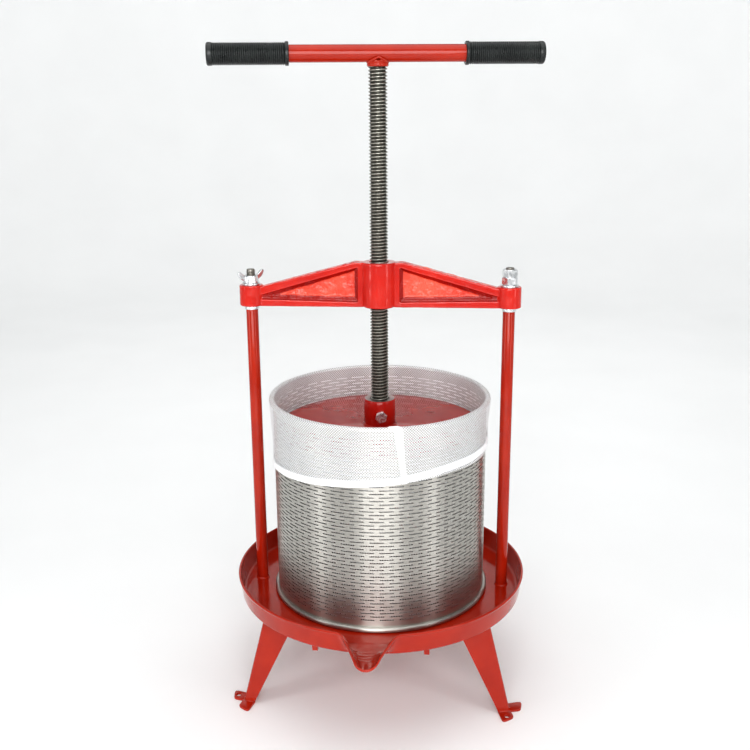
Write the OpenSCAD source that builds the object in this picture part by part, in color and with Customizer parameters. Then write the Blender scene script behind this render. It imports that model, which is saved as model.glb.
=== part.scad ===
// Basket wine press, 18 litre class.
// Origin: on the ground under the screw axis. +Z up, pouring spout towards -Y, posts along X.

/* [Pan] */
// Outer radius of the juice pan at its rolled rim
pan_r = 200; // [190:1:220]
// Height of the pan's floor above the ground
pan_floor_z = 136.5; // [120:0.5:160]
// Height of the pan's wall above its floor
pan_wall_h = 27.5; // [20:0.5:40]
// Sheet thickness of the pan
pan_t = 2; // [1.5:0.5:3]
// How far the pouring spout reaches past the rim
spout_reach = 49; // [35:1:60]
// Radius of the spout's rounded tip, seen from above
spout_tip_r = 16; // [12:1:20]
// Radius of the curve that leads the rim into the spout's flanks
spout_shoulder_r = 18; // [12:1:24]
// Slope of the spout's flanks, seen from above, from the line of the rim
spout_flank_turn = 64; // [55:1:75]
// How far the spout's lip drops from the rim to the tip
spout_drop = 18; // [10:1:20]

/* [Legs] */
// Distance from the press axis to the outer fold of each foot
foot_r = 211; // [195:1:225]
// Distance from the press axis to the outer fold of each leg's top
leg_top_r = 173.5; // [165:0.5:180]
// Width of a leg's flange at the foot
flange_foot_w = 16; // [12:1:20]
// Width of a leg's flange under the pan
flange_top_w = 49; // [35:1:55]
// Plate thickness of the legs
leg_t = 3; // [2:0.5:4]
// Radius of the hole in each foot ear
ear_hole_r = 3.25; // [2.5:0.25:4]

/* [Posts and beam] */
// Distance between the two posts
post_spacing = 340; // [336:1:350]
// Radius of a post
post_r = 8; // [7:0.5:9]
// Height of the beam's underside above the ground
beam_z = 535; // [500:1:560]
// Height of the beam's centre boss
centre_boss_h = 59; // [50:1:70]
// Radius of the beam's centre boss
centre_boss_r = 22.5; // [20:0.5:26]
// Height of the beam's end bosses
end_boss_h = 27.5; // [22:0.5:32]
// Radius of the beam's end bosses
end_boss_r = 15.7; // [14:0.1:18]

/* [Screw and handle] */
// Major radius of the press screw
screw_r = 12; // [10:0.5:14]
// Rise of the screw in one turn
screw_pitch = 4.2; // [3:0.1:6]
// Height of the handle's axis at rest
handle_z = 853; // [830:1:870]
// Half the handle's overall length over the grips
handle_half = 209.5; // [180:0.5:230]
// Radius of the handle tube
handle_r = 10.7; // [9:0.1:12]
// Length of a grip
grip_len = 100; // [80:1:120]
// Radius of a grip
grip_r = 13.7; // [12.5:0.1:16]
// Angle of the handle from the beam at rest
handle_turn = 10.5; // [0:0.5:30]

/* [Basket and bag] */
// Outer radius of the basket's wall
basket_r = 144; // [140:0.5:148]
// Thickness of the basket's wall
basket_t = 1; // [0.8:0.1:1.2]
// Height of the basket over its two beads
basket_h = 278; // [240:1:300]
// Radius of the wire rolled into each bead
bead_r = 3.5; // [3:0.25:4]
// Thickness of the press bag's net
bag_t = 1.2; // [0.8:0.1:1.5]
// Length of the bag's cuff below the rim at its short side
cuff_short = 72; // [50:1:90]
// Length of the bag's cuff below the rim at its long side
cuff_long = 94; // [90:1:110]

/* [Press plate] */
// Radius of the press plate
plate_r = 138.5; // [130:0.5:139]
// Height of the press plate's top face at rest
plate_z = 371.5; // [200:0.5:380]
// Thickness of the press plate
plate_t = 4; // [3:0.5:6]
// Height of the hub on the press plate
hub_h = 37; // [30:1:45]
// Radius of the hub
hub_r = 21.3; // [20:0.1:24]

/* [Hidden] */

$fn = 96;
eps = 0.01;
gap = 0.3;          // air between parts that move on each other
run_gap = 0.05;     // radial clearance of the screw in its thread

red = [0.78, 0.13, 0.08];
zinc = [0.82, 0.83, 0.84];
steel = [0.35, 0.34, 0.31];
stainless = [0.72, 0.71, 0.69];
black = [0.12, 0.13, 0.13];
net_white = [0.93, 0.94, 0.96];

// Pan
pan_under = pan_floor_z - pan_t;
rim_z = pan_floor_z + pan_wall_h;
pan_foot_r = pan_r - 4.5;     // outer radius of the wall where it meets the floor
rim_bead_r = 1.8;
spout_floor_z = pan_floor_z + 4;      // inside bottom of the spout at its tip

// Plan of the spout's lip: where its tip is turned from, and where each shoulder curve is turned from
spout_tip_c = pan_r + spout_reach - spout_tip_r;
spout_offset = spout_tip_c * cos(spout_flank_turn) + spout_tip_r + spout_shoulder_r;
spout_back = sqrt(pow(pan_r + spout_shoulder_r, 2) - pow(spout_offset, 2));
spout_shoulder = [
    sin(spout_flank_turn) * spout_offset - cos(spout_flank_turn) * spout_back,
    cos(spout_flank_turn) * spout_offset + sin(spout_flank_turn) * spout_back
];

// Posts, from the pan's floor to the beam
post_x = post_spacing / 2;
stud_r = 6;                   // M12 ends of the posts
stud_hole_r = 6.5;
seat_ring_h = 5;
shoulder_z = beam_z - seat_ring_h;
channel_h = 22;
channel_w = 32;
channel_t = 3;
channel_half = pan_r - 16;
washer_h = 2.6;
washer_r = 12;
nut_h = 10.2;
nut_r = 18 / 2 / cos(30);     // 18 mm across flats
left_stud_top = beam_z + end_boss_h + 20.8;
right_stud_top = beam_z + end_boss_h + washer_h + 2 * nut_h + 2;
stud_bottom = pan_under - channel_t - washer_h - nut_h - 3;
left_washer_z = beam_z + end_boss_h + 0.1;
wing_nut_z = left_washer_z + washer_h + 0.1;
wing_turn = 45;

// Basket
basket_z = pan_floor_z + gap;
bead_mid_r = basket_r + 1.5;
top_bead_z = basket_z + basket_h - bead_r;
bottom_bead_z = basket_z + bead_r;
liner_r = basket_r - basket_t - 1.1;         // outer radius of the bag inside the basket
rim_in = bead_r + 0.1;                       // the bag's fold over the top bead, inside
rim_out = bead_r + 0.1 + bag_t;              // and outside
cuff_end_r = basket_r + 0.4;                 // inner radius of the cuff at its lower edge
bag_top_z = top_bead_z + rim_out;
cuff_long_z = bag_top_z - cuff_long;
cuff_short_z = bag_top_z - cuff_short;
hem_h = 9;

// Plate, hub and the screw's nose
hub_top_z = plate_z + hub_h;
hub_bore_r = screw_r + 1;
hub_bolt_z = plate_z + 17;
hub_bolt_turn = 9;            // the front bolt's angle from -Y
bolt_r = 4;
bolt_tip_r = 9.5;             // how near the bolt tips come to the axis
bolt_head_r = 14.3 / 2 / cos(30);
bolt_head_h = 5.5;
groove_r = 8.5;
groove_h = 9.2;
thrust_h = 3;
nose_z = plate_z + thrust_h + gap;
screw_top_z = handle_z - handle_r;

// Stiffeners under the pan
bar_x = 71;
bar_w = 7;
bar_h = 11;
bar_end_y = 175;

// Hole in a leg's ear: distance from the leg's fold along the flange, and out from it
ear_hole_a = 9;
ear_hole_d = 11.5;

module ring(r_out, r_in, h) {
    difference() {
        cylinder(r = r_out, h = h);
        translate([0, 0, -1]) cylinder(r = r_in, h = h + 2);
    }
}

module torus(r_mid, r_wire) {
    rotate_extrude() translate([r_mid, 0]) circle(r = r_wire, $fn = 32);
}

module hex_nut(h, bore, turn = 0) {
    difference() {
        rotate(turn) cylinder(r = nut_r, h = h, $fn = 6);
        translate([0, 0, -1]) cylinder(r = bore, h = h + 2);
    }
}

// ---- pan ----

// Side profile of the pan: floor, sloped wall and its thickness, as (radius, height) points.
module pan_profile() {
    polygon([
        [0, pan_under],
        [pan_foot_r - 3.5, pan_under],
        [pan_foot_r - 1, pan_under + 1.1],
        [pan_foot_r, pan_under + 3.6],
        [pan_r - rim_bead_r, rim_z - rim_bead_r],
        [pan_r - rim_bead_r - pan_t, rim_z - rim_bead_r],
        [pan_foot_r - pan_t, pan_under + 6],
        [pan_foot_r - pan_t - 3, pan_floor_z + 0.8],
        [pan_foot_r - pan_t - 6, pan_floor_z],
        [0, pan_floor_z]
    ]);
}

// Plan of the spout: a round tip, straight flanks and a curve on each side that runs into the rim.
// It is drawn `inset` inside the lip's outer edge and closed behind the pan's wall.
function spout_side_line(inset, n = 8) = let (
    rim_turn = atan2(spout_shoulder[0], spout_shoulder[1]), curve_r = spout_shoulder_r + inset
) concat(
    [for (i = [0 : n]) let (a = rim_turn + (spout_flank_turn - rim_turn) * i / n)
        [spout_shoulder[0] - curve_r * sin(a), -(spout_shoulder[1] - curve_r * cos(a))]],
    [for (i = [0 : n - 1]) let (a = spout_flank_turn * (1 - i / n))
        [(spout_tip_r - inset) * sin(a), -(spout_tip_c + (spout_tip_r - inset) * cos(a))]]
);
function spout_plan(inset, n = 8) = let (line = spout_side_line(inset, n)) concat(
    [[line[0][0], -(pan_r - 40)]],
    line,
    [[0, -(spout_tip_c + spout_tip_r - inset)]],
    [for (i = [len(line) - 1 : -1 : 0]) [-line[i][0], line[i][1]]],
    [[-line[0][0], -(pan_r - 40)]]
);

// Side view of the spout, (y, z) points: the lip falls and the bottom rises towards the tip.
module spout_side(lip, bottom, tip_bottom) {
    tip_y = -pan_r - spout_reach;
    rotate([90, 0, 90]) translate([0, 0, -80]) linear_extrude(160) polygon([
        [-150, lip], [-pan_r + 12, lip], [tip_y, lip - spout_drop],
        [tip_y, tip_bottom], [-pan_foot_r + 6, bottom], [-150, bottom]
    ]);
}

module spout_outer() {
    intersection() {
        translate([0, 0, pan_under]) linear_extrude(pan_wall_h + pan_t)
            polygon(spout_plan(0));
        spout_side(rim_z, pan_under, spout_floor_z - pan_t);
    }
}

module spout_hollow() {
    intersection() {
        translate([0, 0, pan_floor_z]) linear_extrude(pan_wall_h + 5)
            polygon(spout_plan(1.8));
        spout_side(rim_z + 30, pan_floor_z, spout_floor_z);
    }
}

module base_pan() {
    color(red) difference() {
        union() {
            rotate_extrude() pan_profile();
            translate([0, 0, rim_z - rim_bead_r]) torus(pan_r - rim_bead_r, rim_bead_r);
            difference() {
                spout_outer();
                translate([0, 0, pan_floor_z]) cylinder(r = pan_foot_r - pan_t - 2, h = 60);
            }
        }
        spout_hollow();
        for (s = [-1, 1]) translate([s * post_x, 0, pan_under - 1])
            cylinder(r = stud_hole_r, h = pan_t + 2);
    }
}

// ---- under the pan ----

// Channel across the pan's underside, open below, that the posts' ends clamp.
module cross_member() {
    color(red) translate([0, 0, pan_under - channel_h]) difference() {
        translate([-channel_half, -channel_w / 2, 0])
            cube([2 * channel_half, channel_w, channel_h]);
        translate([-pan_r, -channel_w / 2 + channel_t, -1])
            cube([2 * pan_r, channel_w - 2 * channel_t, channel_h - channel_t + 1]);
        for (s = [-1, 1]) translate([s * post_x, 0, -1]) cylinder(r = stud_hole_r, h = channel_h + 2);
    }
}

// Bar on edge, from the channel to the pan's edge, with a tapered end.
module stiffener(side_x, side_y) {
    color(red) scale([side_x, side_y, 1]) translate([bar_x + bar_w / 2, 0, pan_under])
        rotate([90, 0, -90]) linear_extrude(bar_w) polygon([
            [-channel_w / 2, 0], [-bar_end_y, 0], [-bar_end_y + 3, -bar_h], [-channel_w / 2, -bar_h]
        ]);
}

module stiffener_front_left() { stiffener(-1, 1); }
module stiffener_front_right() { stiffener(1, 1); }
module stiffener_rear_left() { stiffener(-1, -1); }
module stiffener_rear_right() { stiffener(1, -1); }

// ---- legs ----

// One flange of an angle leg, standing on its ear. The fold runs up local Z from the origin.
module leg_flange(lean) {
    hull() {
        translate([0, -leg_t, 0]) cube([flange_foot_w, leg_t, 0.5]);
        translate([lean * sin(45), -leg_t - lean * cos(45), pan_under - 0.5])
            cube([flange_top_w, leg_t, 0.5]);
    }
}

// The tab bent out at a flange's foot. Its outer edge is skewed, because the leg leans.
module foot_ear(drilled) {
    w = flange_foot_w;
    difference() {
        linear_extrude(leg_t) polygon([
            [0, -leg_t], [0, 11], [0.8, 13.5], [3, 15.5], [w - 5, 20.5], [w - 2, 20.8],
            [w + 0.5, 19.5], [w + 1.5, 17], [w + 1, -leg_t]
        ]);
        if (drilled) translate([ear_hole_a, ear_hole_d, -1])
            cylinder(r = ear_hole_r, h = leg_t + 2, $fn = 48);
    }
}

// A whole leg in the radial plane of local +X: two tapered flanges, one plain and one drilled
// ear, and a top pad welded to the pan. The three legs are the same piece.
module leg() {
    lean = foot_r - leg_top_r;
    reach = flange_top_w * cos(45);
    color(red) {
        for (m = [0, 1]) mirror([0, m, 0]) translate([foot_r, 0, 0]) rotate(135) mirror([0, 1, 0]) {
            leg_flange(lean);
            foot_ear(m == 1);
        }
        translate([0, 0, pan_under - leg_t]) linear_extrude(leg_t) polygon([
            [leg_top_r - 1, 0], [leg_top_r - 1 - reach, reach], [leg_top_r - 1 - reach, -reach]
        ]);
    }
}

module leg_front_left() { rotate(210) leg(); }
module leg_front_right() { rotate(330) leg(); }
module leg_rear() { rotate(90) leg(); }

// ---- posts ----

module post(side, stud_top) {
    color(red) translate([side * post_x, 0, 0]) {
        translate([0, 0, pan_floor_z]) cylinder(r = post_r, h = shoulder_z - pan_floor_z);
        translate([0, 0, stud_bottom]) cylinder(r = stud_r, h = pan_floor_z - stud_bottom + eps);
        translate([0, 0, shoulder_z - eps]) cylinder(r = stud_r, h = stud_top - shoulder_z);
    }
}

module post_left() { post(-1, left_stud_top); }
module post_right() { post(1, right_stud_top); }

module post_foot_washers() {
    color(zinc) for (s = [-1, 1])
        translate([s * post_x, 0, pan_under - channel_t - washer_h]) ring(washer_r, stud_r + 0.3, washer_h);
}

module post_foot_nuts() {
    color(zinc) for (s = [-1, 1])
        translate([s * post_x, 0, pan_under - channel_t - washer_h - nut_h]) hex_nut(nut_h, stud_r, 15);
}

module beam_seat_rings() {
    color(zinc) for (s = [-1, 1])
        translate([s * post_x, 0, shoulder_z]) ring(9.5, stud_r + 0.2, seat_ring_h);
}

// ---- beam ----

// One arm of the beam, drawn in its X-Z plane with the boss axis at x = 0.
module arm_plate(thick, points) {
    translate([0, thick / 2, 0]) rotate([90, 0, 0]) linear_extrude(thick) polygon(points);
}

module arm() {
    edge = [
        [15, 0], [post_x - 8, 0], [post_x - 8, end_boss_h - 3.5],
        [centre_boss_r + 10.5, centre_boss_h], [15, centre_boss_h]
    ];
    recess = [
        [centre_boss_r + 5, 6.2], [centre_boss_r + 5, centre_boss_h - 7],
        [post_x - end_boss_r, 15.5], [post_x - end_boss_r, 9.5]
    ];
    difference() {
        arm_plate(16, edge);
        for (s = [-1, 1]) translate([0, s * 10, 0]) arm_plate(11, recess);
    }
}

module cross_beam() {
    color(red) translate([0, 0, beam_z]) difference() {
        union() {
            cylinder(r = centre_boss_r, h = centre_boss_h);
            for (m = [0, 1]) mirror([m, 0, 0]) {
                arm();
                translate([post_x, 0, 0]) cylinder(r = end_boss_r, h = end_boss_h);
            }
        }
        translate([0, 0, -1]) cylinder(r = screw_r + run_gap, h = centre_boss_h + 2);
        for (s = [-1, 1]) translate([s * post_x, 0, -1]) cylinder(r = stud_hole_r, h = end_boss_h + 2);
        // the left end swings off its stud to the rear
        translate([-post_x - stud_hole_r, 0, -1]) cube([2 * stud_hole_r, 30, end_boss_h + 2]);
    }
}

module left_top_washer() {
    color(zinc) translate([-post_x, 0, left_washer_z]) ring(washer_r, stud_r + 0.3, washer_h);
}

module right_top_washer() {
    color(zinc) translate([post_x, 0, beam_z + end_boss_h]) ring(washer_r, stud_r + 0.3, washer_h);
}

module wing_nut() {
    color(zinc) translate([-post_x, 0, wing_nut_z]) rotate(wing_turn) difference() {
        union() {
            cylinder(r1 = 10.5, r2 = 8.6, h = 10);
            for (s = [0, 180]) rotate(s) translate([0, 1.6, 0]) rotate([90, 0, 0]) linear_extrude(3.2)
                polygon([[7, 1], [12, 3], [18.5, 9], [20.5, 14], [19, 16.2], [15.5, 15.5], [8, 9.5]]);
        }
        translate([0, 0, -1]) cylinder(r = stud_r + run_gap, h = 12);
    }
}

module clamp_nut() {
    color(zinc) translate([post_x, 0, beam_z + end_boss_h + washer_h]) hex_nut(nut_h, stud_r, 12);
}

module lock_nut() {
    color(zinc) translate([post_x, 0, beam_z + end_boss_h + washer_h + nut_h]) hex_nut(nut_h, stud_r, 38);
}

// ---- basket ----

module basket_wall() {
    color(stainless) difference() {
        translate([0, 0, basket_z + 2 * bead_r - 1.5])
            ring(basket_r, basket_r - basket_t, basket_h - 4 * bead_r + 3);
        for (z = [bottom_bead_z, top_bead_z]) translate([0, 0, z]) torus(bead_mid_r, bead_r + eps);
    }
}

module basket_top_bead() {
    color(stainless) translate([0, 0, top_bead_z]) torus(bead_mid_r, bead_r);
}

module basket_bottom_bead() {
    color(stainless) translate([0, 0, bottom_bead_z]) torus(bead_mid_r, bead_r);
}

// ---- press bag ----

// Half circle of points over the top bead, from the inside to the outside.
function over_bead(r, a0 = 180, a1 = 0, n = 12) =
    [for (i = [0 : n]) let (a = a0 + (a1 - a0) * i / n) [bead_mid_r + r * cos(a), top_bead_z + r * sin(a)]];

// Section of the net: liner, fold over the bead, and cuff down to its longest side.
module bag_section() {
    polygon(concat(
        [[liner_r - bag_t, basket_z + bag_t + 0.2]],
        over_bead(rim_out),
        [[cuff_end_r + bag_t, cuff_long_z], [cuff_end_r, cuff_long_z]],
        over_bead(rim_in, 0, 180),
        [[liner_r, top_bead_z - 8], [liner_r, basket_z + bag_t + 0.2]]
    ));
}

// Keeps what lies above the cuff's slanted lower edge, raised by lift, outside the basket.
module cuff_trim(lift) {
    half = basket_r + 10;
    translate([0, 200, 0]) rotate([90, 0, 0]) linear_extrude(400) polygon([
        [-half, cuff_long_z + lift], [half, cuff_short_z + lift],
        [half, bag_top_z + 10], [-half, bag_top_z + 10]
    ]);
}

module bag_net() {
    color(net_white) difference() {
        rotate_extrude() bag_section();
        difference() {
            translate([0, 0, cuff_long_z - 1])
                ring(basket_r + 12, basket_r + 0.05, cuff_short_z - cuff_long_z + hem_h + 2);
            cuff_trim(hem_h);
        }
    }
}

module bag_hem() {
    color(net_white) intersection() {
        rotate_extrude() polygon([
            [cuff_end_r + 0.1, cuff_long_z - 2], [cuff_end_r + bag_t + 0.6, cuff_long_z - 2],
            [cuff_end_r + bag_t + 1.8, bag_top_z - 40], [cuff_end_r + 1.3, bag_top_z - 40]
        ]);
        difference() {
            cuff_trim(0);
            cuff_trim(hem_h);
        }
    }
}

// Seam tape down the front of the cuff.
module bag_seam() {
    seam_turn = 12;
    low_z = cuff_short_z - 2;
    color(net_white) rotate(seam_turn) intersection() {
        rotate_extrude() polygon([
            [cuff_end_r + bag_t + 1.9, low_z + hem_h], [cuff_end_r + bag_t + 2.7, low_z + hem_h],
            [bead_mid_r + rim_out + 0.8, top_bead_z], [bead_mid_r + rim_out + 0.05, top_bead_z]
        ]);
        translate([-7, -basket_r - 20, low_z]) cube([14, 60, 200]);
    }
}

module bag_floor() {
    color(net_white) translate([0, 0, basket_z + 0.1]) cylinder(r = liner_r - bag_t - 0.2, h = bag_t);
}

// ---- press plate ----

module press_disc() {
    color(red) translate([0, 0, plate_z - plate_t]) cylinder(r = plate_r, h = plate_t, $fn = 180);
}

module plate_hub() {
    color(red) difference() {
        translate([0, 0, plate_z]) cylinder(r = hub_r, h = hub_h);
        translate([0, 0, plate_z + thrust_h]) cylinder(r = hub_bore_r, h = hub_h);
        translate([0, 0, plate_z - 1]) cylinder(r = hub_bore_r - 1, h = thrust_h + 2);
        for (s = [0, 180]) rotate(hub_bolt_turn + s) translate([0, 0, hub_bolt_z]) rotate([90, 0, 0])
            translate([0, 0, hub_bore_r - 4]) cylinder(r = bolt_r, h = hub_r);
    }
}

// Hardened pad that takes the screw's thrust in the bottom of the hub.
module thrust_washer() {
    color(zinc) translate([0, 0, plate_z]) cylinder(r = hub_bore_r - 1.1, h = thrust_h);
}

module hub_bolt() {
    translate([0, 0, hub_bolt_z]) rotate([90, 0, 0]) {
        translate([0, 0, bolt_tip_r]) cylinder(r = bolt_r, h = hub_r - bolt_tip_r + 0.5);
        translate([0, 0, hub_r + 0.2]) rotate(15) cylinder(r = bolt_head_r, h = bolt_head_h, $fn = 6);
    }
}

module hub_bolts() {
    color(zinc) for (s = [0, 180]) rotate(hub_bolt_turn + s) hub_bolt();
}

// ---- screw and handle ----

module screw() {
    color(steel) difference() {
        translate([0, 0, nose_z]) cylinder(r = screw_r, h = screw_top_z - nose_z);
        translate([0, 0, hub_bolt_z - groove_h / 2]) ring(screw_r + 2, groove_r, groove_h);
    }
}

// Places its children, drawn along +X, on the handle's axis.
module on_handle() {
    translate([0, 0, handle_z]) rotate(handle_turn) children();
}

module handle_bar() {
    color(red) on_handle() rotate([0, 90, 0]) translate([0, 0, -handle_half + 2.5]) difference() {
        cylinder(r = handle_r, h = 2 * handle_half - 5);
        translate([0, 0, -1]) cylinder(r = handle_r - 2, h = 2 * handle_half);
    }
}

module handle_weld() {
    color(red) difference() {
        translate([0, 0, screw_top_z - 6]) cylinder(r1 = screw_r + 0.6, r2 = screw_r + 3.5, h = 9);
        translate([0, 0, screw_top_z - 10]) cylinder(r = screw_r, h = 10);
        on_handle() rotate([0, 90, 0]) translate([0, 0, -40]) cylinder(r = handle_r, h = 80);
    }
}

// A ribbed rubber sleeve, closed at the outer end, with a collar at the inner end.
module grip() {
    rotate([0, 90, 0]) difference() {
        union() {
            translate([0, 0, handle_half - grip_len]) cylinder(r = grip_r, h = grip_len - 2);
            translate([0, 0, handle_half - 2]) cylinder(r1 = grip_r, r2 = grip_r - 2, h = 2);
            translate([0, 0, handle_half - grip_len]) cylinder(r = grip_r + 0.8, h = 5);
        }
        translate([0, 0, handle_half - grip_len - 1]) cylinder(r = handle_r, h = grip_len - 1.5);
    }
}

module grip_right() { color(black) on_handle() grip(); }
module grip_left() { color(black) on_handle() rotate(180) grip(); }

base_pan();
cross_member();
stiffener_front_left();
stiffener_front_right();
stiffener_rear_left();
stiffener_rear_right();
leg_front_left();
leg_front_right();
leg_rear();
post_left();
post_right();
post_foot_washers();
post_foot_nuts();
beam_seat_rings();
cross_beam();
left_top_washer();
wing_nut();
right_top_washer();
clamp_nut();
lock_nut();
basket_wall();
basket_top_bead();
basket_bottom_bead();
bag_net();
bag_floor();
bag_hem();
bag_seam();
press_disc();
plate_hub();
thrust_washer();
hub_bolts();
screw();
handle_bar();
handle_weld();
grip_left();
grip_right();
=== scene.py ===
import math

import bmesh
import bpy
from mathutils import Matrix, Vector, noise


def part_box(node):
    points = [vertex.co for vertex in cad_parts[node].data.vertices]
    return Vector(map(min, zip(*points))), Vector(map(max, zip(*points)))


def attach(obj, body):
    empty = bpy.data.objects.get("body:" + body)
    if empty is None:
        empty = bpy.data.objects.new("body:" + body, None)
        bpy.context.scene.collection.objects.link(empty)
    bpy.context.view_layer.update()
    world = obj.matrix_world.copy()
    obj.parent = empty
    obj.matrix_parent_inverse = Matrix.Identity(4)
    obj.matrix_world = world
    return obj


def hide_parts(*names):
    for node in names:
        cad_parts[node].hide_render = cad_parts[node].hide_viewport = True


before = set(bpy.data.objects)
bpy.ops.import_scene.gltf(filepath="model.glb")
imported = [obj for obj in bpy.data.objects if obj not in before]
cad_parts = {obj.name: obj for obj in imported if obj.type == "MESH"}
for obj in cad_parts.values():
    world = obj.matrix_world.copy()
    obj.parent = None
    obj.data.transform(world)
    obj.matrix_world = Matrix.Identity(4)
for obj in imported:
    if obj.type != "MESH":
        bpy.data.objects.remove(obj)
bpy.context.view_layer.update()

MM = 0.001
scene = bpy.context.scene


def mm(node):
    """Lowest and highest corner of a CAD node, in millimetres."""
    low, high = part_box(node)
    return low / MM, high / MM


# ---- shapes
class Shape:
    """Points in millimetres, faces, each face's material and each corner's UV in metres."""

    def __init__(self):
        self.points, self.faces, self.mats, self.uvs = [], [], [], []

    def add(self, part, place=None, mat=0):
        points, faces, *uv = part
        base = len(self.points)
        self.points += [place @ Vector(p) for p in points] if place else [Vector(p) for p in points]
        for face in faces:
            self.faces.append([base + i for i in face])
            self.mats.append(mat)
            self.uvs += [uv[0][i] for i in face] if uv else [(0.0, 0.0)] * len(face)
        return self


def tidy(mesh, merge=1e-6):
    """Joins doubled points, drops faces with no area and turns every face outwards."""
    bm = bmesh.new()
    bm.from_mesh(mesh)
    bmesh.ops.remove_doubles(bm, verts=bm.verts, dist=merge)
    bmesh.ops.dissolve_degenerate(bm, edges=bm.edges, dist=merge / 10)
    bmesh.ops.recalc_face_normals(bm, faces=bm.faces)
    bm.to_mesh(mesh)
    bm.free()


def to_mesh(name, shape, scale=MM):
    mesh = bpy.data.meshes.new(name)
    mesh.from_pydata([tuple(p * scale) for p in shape.points], [], shape.faces)
    layer = mesh.uv_layers.new(name="UVMap")
    layer.data.foreach_set("uv", [x for uv in shape.uvs for x in uv])
    mesh.polygons.foreach_set("material_index", shape.mats)
    mesh.update()
    tidy(mesh, 1e-6 * scale / MM)
    return mesh


def shade(mesh, angle):
    mesh.shade_smooth()
    mesh.set_sharp_from_angle(angle=math.radians(angle))


def piece(name, source, body, materials, hides=(), angle=35):
    """A visible piece made from a Shape or a mesh; it rides on a body and stands for some CAD nodes."""
    mesh = to_mesh(name, source) if isinstance(source, Shape) else source
    mesh.name = name
    for m in materials:
        mesh.materials.append(m)
    shade(mesh, angle)
    obj = bpy.data.objects.new(name, mesh)
    scene.collection.objects.link(obj)
    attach(obj, body)
    if hides:
        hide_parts(*hides)
    return obj


def quads(rows, columns):
    """Faces of a grid of points listed row by row."""
    return [
        (i * columns + j, (i + 1) * columns + j, (i + 1) * columns + j + 1, i * columns + j + 1)
        for i in range(rows - 1) for j in range(columns - 1)
    ]


def sweep(columns, line):
    """The grid of (point, uv) pairs that line(a) gives at each angle a round Z."""
    points, uvs = [], []
    for i in range(columns + 1):
        for point, uv in line(math.tau * i / columns):
            points.append(point)
            uvs.append(uv)
    return points, quads(columns + 1, len(points) // (columns + 1)), uvs


def lathe(profile, n=96, closed=True):
    """The (radius, height) profile turned round Z."""
    line = profile + [profile[0]] if closed else profile
    widest = max(r for r, _ in line)
    along = [0.0]
    for a, b in zip(line, line[1:]):
        along.append(along[-1] + math.dist(a, b))
    return sweep(n, lambda turn: [
        ((r * math.cos(turn), r * math.sin(turn), z), (turn * widest * MM, s * MM))
        for (r, z), s in zip(line, along)])


def arc(cx, cy, r, start, end, n=6):
    """Points on an arc, angles in degrees."""
    steps = [math.radians(start + (end - start) * i / n) for i in range(n + 1)]
    return [(cx + r * math.cos(a), cy + r * math.sin(a)) for a in steps]


def between(start, end, steps):
    """Points that divide a straight line, with its end and without its start."""
    (x0, y0), (x1, y1) = start, end
    return [(x0 + (x1 - x0) * k / steps, y0 + (y1 - y0) * k / steps) for k in range(1, steps + 1)]


def clamp(x, low=0.0, high=1.0):
    return max(low, min(high, x))


def shift(x, y=0.0, z=0.0):
    return Matrix.Translation((x, y, z))


def spin(degrees, axis="Z"):
    return Matrix.Rotation(math.radians(degrees), 4, axis)


def rod(r, low, high, round_low=0.6, round_high=0.6, n=48):
    """A solid round bar with broken edges."""
    return lathe(
        [(0, low)] + arc(r - round_low, low + round_low, round_low, -90, 0, 3)
        + arc(r - round_high, high - round_high, round_high, 0, 90, 3) + [(0, high)], n, closed=False)


def tube(r_out, r_in, low, high, soft=0.4, n=64):
    """A ring or tube with rounded edges."""
    return lathe(
        arc(r_out - soft, low + soft, soft, -90, 0, 3)
        + arc(r_out - soft, high - soft, soft, 0, 90, 3)
        + arc(r_in + soft, high - soft, soft, 90, 180, 3)
        + arc(r_in + soft, low + soft, soft, 180, 270, 3), n)


def prism(outline, low, high):
    """A solid standing on an outline of (x, y) points."""
    n = len(outline)
    points = [(x, y, low) for x, y in outline] + [(x, y, high) for x, y in outline]
    faces = [tuple(range(n))[::-1], tuple(range(n, 2 * n))]
    faces += [(i, (i + 1) % n, n + (i + 1) % n, n + i) for i in range(n)]
    return points, faces


def plate(outline, holes, low, high, soft=0.4):
    """A flat plate between two heights, with holes and rounded edges."""
    curve = bpy.data.curves.new("plate", "CURVE")
    curve.dimensions, curve.fill_mode = "2D", "BOTH"
    curve.extrude, curve.bevel_depth = (high - low) / 2 - soft, soft
    curve.bevel_resolution, curve.offset = 2, -soft
    for loop in [outline, *holes]:
        spline = curve.splines.new("POLY")
        spline.points.add(len(loop) - 1)
        spline.use_cyclic_u = True
        for point, (x, y) in zip(spline.points, loop):
            point.co = (x, y, 0, 1)
    holder = bpy.data.objects.new("plate", curve)
    scene.collection.objects.link(holder)
    mesh = bpy.data.meshes.new_from_object(holder.evaluated_get(bpy.context.evaluated_depsgraph_get()))
    middle = (low + high) / 2
    points = [(v.co.x, v.co.y, v.co.z + middle) for v in mesh.vertices]
    part = points, [tuple(p.vertices) for p in mesh.polygons]
    bpy.data.objects.remove(holder)
    bpy.data.curves.remove(curve)
    bpy.data.meshes.remove(mesh)
    return part


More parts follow.
